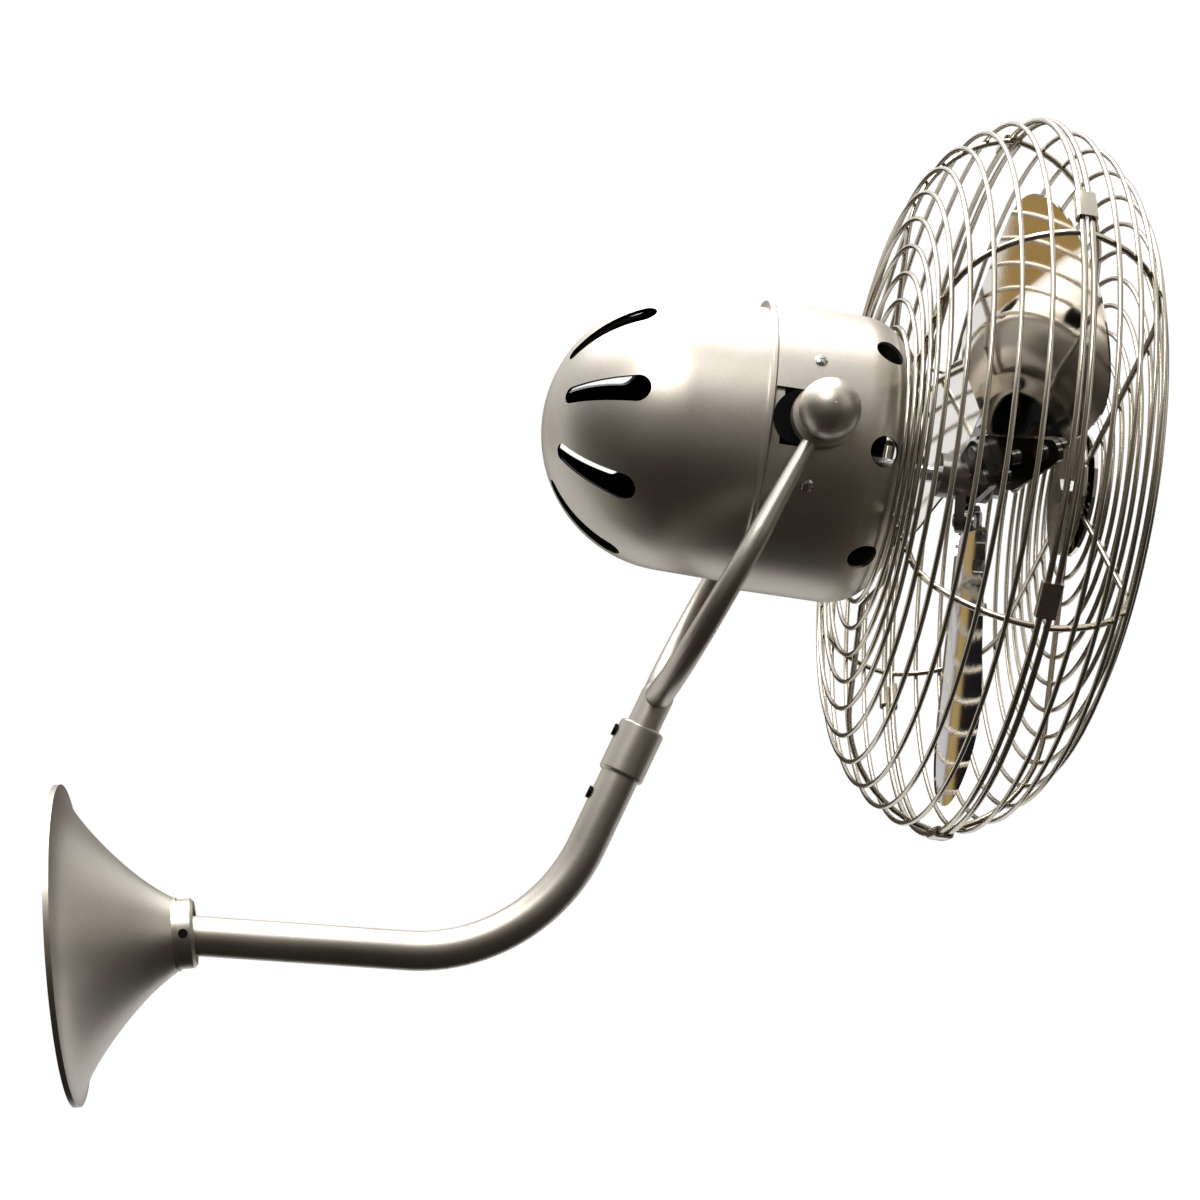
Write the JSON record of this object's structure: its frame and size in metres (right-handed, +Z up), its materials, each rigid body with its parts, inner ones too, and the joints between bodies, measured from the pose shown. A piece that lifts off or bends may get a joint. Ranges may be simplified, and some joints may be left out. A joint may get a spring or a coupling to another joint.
{
  "type": "wall mounted fan",
  "caption": "Wall fan on a bent tube arm: flared canopy, swivelling yoke, tilting domed motor head, round wire cage and pitched metal blades.",
  "frame": {"origin": "middle of the wall bolt pattern, on the back face of the wall plate", "axes": "+X straight out of the wall, +Y sideways along the wall, +Z up"},
  "size_m": [0.612, 0.4082, 0.5008],
  "materials": {
    "steel_plate": "zinc-plated steel, hidden behind the canopy",
    "satin_nickel": "satin brushed nickel, warm champagne tone",
    "polished_wire": "polished nickel plate on wire",
    "polished_blade": "mirror-polished pressed metal",
    "bright_fastener": "bright plated fastener",
    "zinc_fastener": "zinc-plated fastener",
    "black_pivot": "matt black friction material",
    "black_shield": "matt black moulded shield",
    "motor_cast": "plain die casting",
    "lamination": "stacked dark electrical steel",
    "copper_winding": null,
    "ground_steel": "ground bright steel",
    "hub_cast": "machined casting"
  },
  "bodies": {
    "wall_arm": {"wall_plate": "steel_plate", "arm_socket": "steel_plate", "socket_screws": "zinc_fastener", "canopy": "satin_nickel", "canopy_collar": "satin_nickel", "collar_screws": "zinc_fastener", "arm_tube": "satin_nickel", "arm_sleeve": "satin_nickel", "arm_screws": "bright_fastener"},
    "yoke": {"yoke": "satin_nickel"},
    "head": {"friction_washers": "black_pivot", "pivot_bolts": "bright_fastener", "motor_frame": "motor_cast", "notch_shields": "black_shield", "rear_shell": "satin_nickel", "front_shell": "satin_nickel", "side_screws": "bright_fastener", "stator": "lamination", "windings": "copper_winding", "rear_bracket": "motor_cast", "front_bracket": "motor_cast", "bearings": "ground_steel", "rear_guard": "polished_wire", "front_guard": "polished_wire", "guard_standoffs": "bright_fastener", "centre_discs": "polished_blade", "centre_bolt": "bright_fastener", "guard_clips": "polished_wire"},
    "near_knob": {"near_knob": "satin_nickel"},
    "far_knob": {"far_knob": "satin_nickel"},
    "fan": {"rotor": "lamination", "motor_shaft": "ground_steel", "blade_hub": "hub_cast", "blade_irons": "satin_nickel", "hub_rivets": "zinc_fastener", "blade_screws": "bright_fastener", "blades": "polished_blade", "hub_nut": "bright_fastener"}
  },
  "joints": [
    {"name": "arm_swivel", "type": "hinge", "parent": "wall_arm", "child": "yoke", "pos_m": [0.31823, 0, 0.08972], "axis": [0.512, 0, 0.859], "range_deg": [-90, 90]},
    {"name": "head_tilt", "type": "hinge", "parent": "yoke", "child": "head", "pos_m": [0.4181, 0, 0.23763], "axis": [0, 1, 0], "range_deg": [-50, 34]},
    {"name": "near_knob_turn", "type": "hinge", "parent": "head", "child": "near_knob", "pos_m": [0.4181, -0.109, 0.23763], "axis": [0, -1, 0], "range_deg": [0, 360]},
    {"name": "far_knob_turn", "type": "hinge", "parent": "head", "child": "far_knob", "pos_m": [0.4181, 0.109, 0.23763], "axis": [0, 1, 0], "range_deg": [0, 360]},
    {"name": "blade_spin", "type": "hinge", "parent": "head", "child": "fan", "pos_m": [0.52146, 0, 0.21414], "axis": [0.9751, 0, -0.2215], "continuous": true}
  ]
}
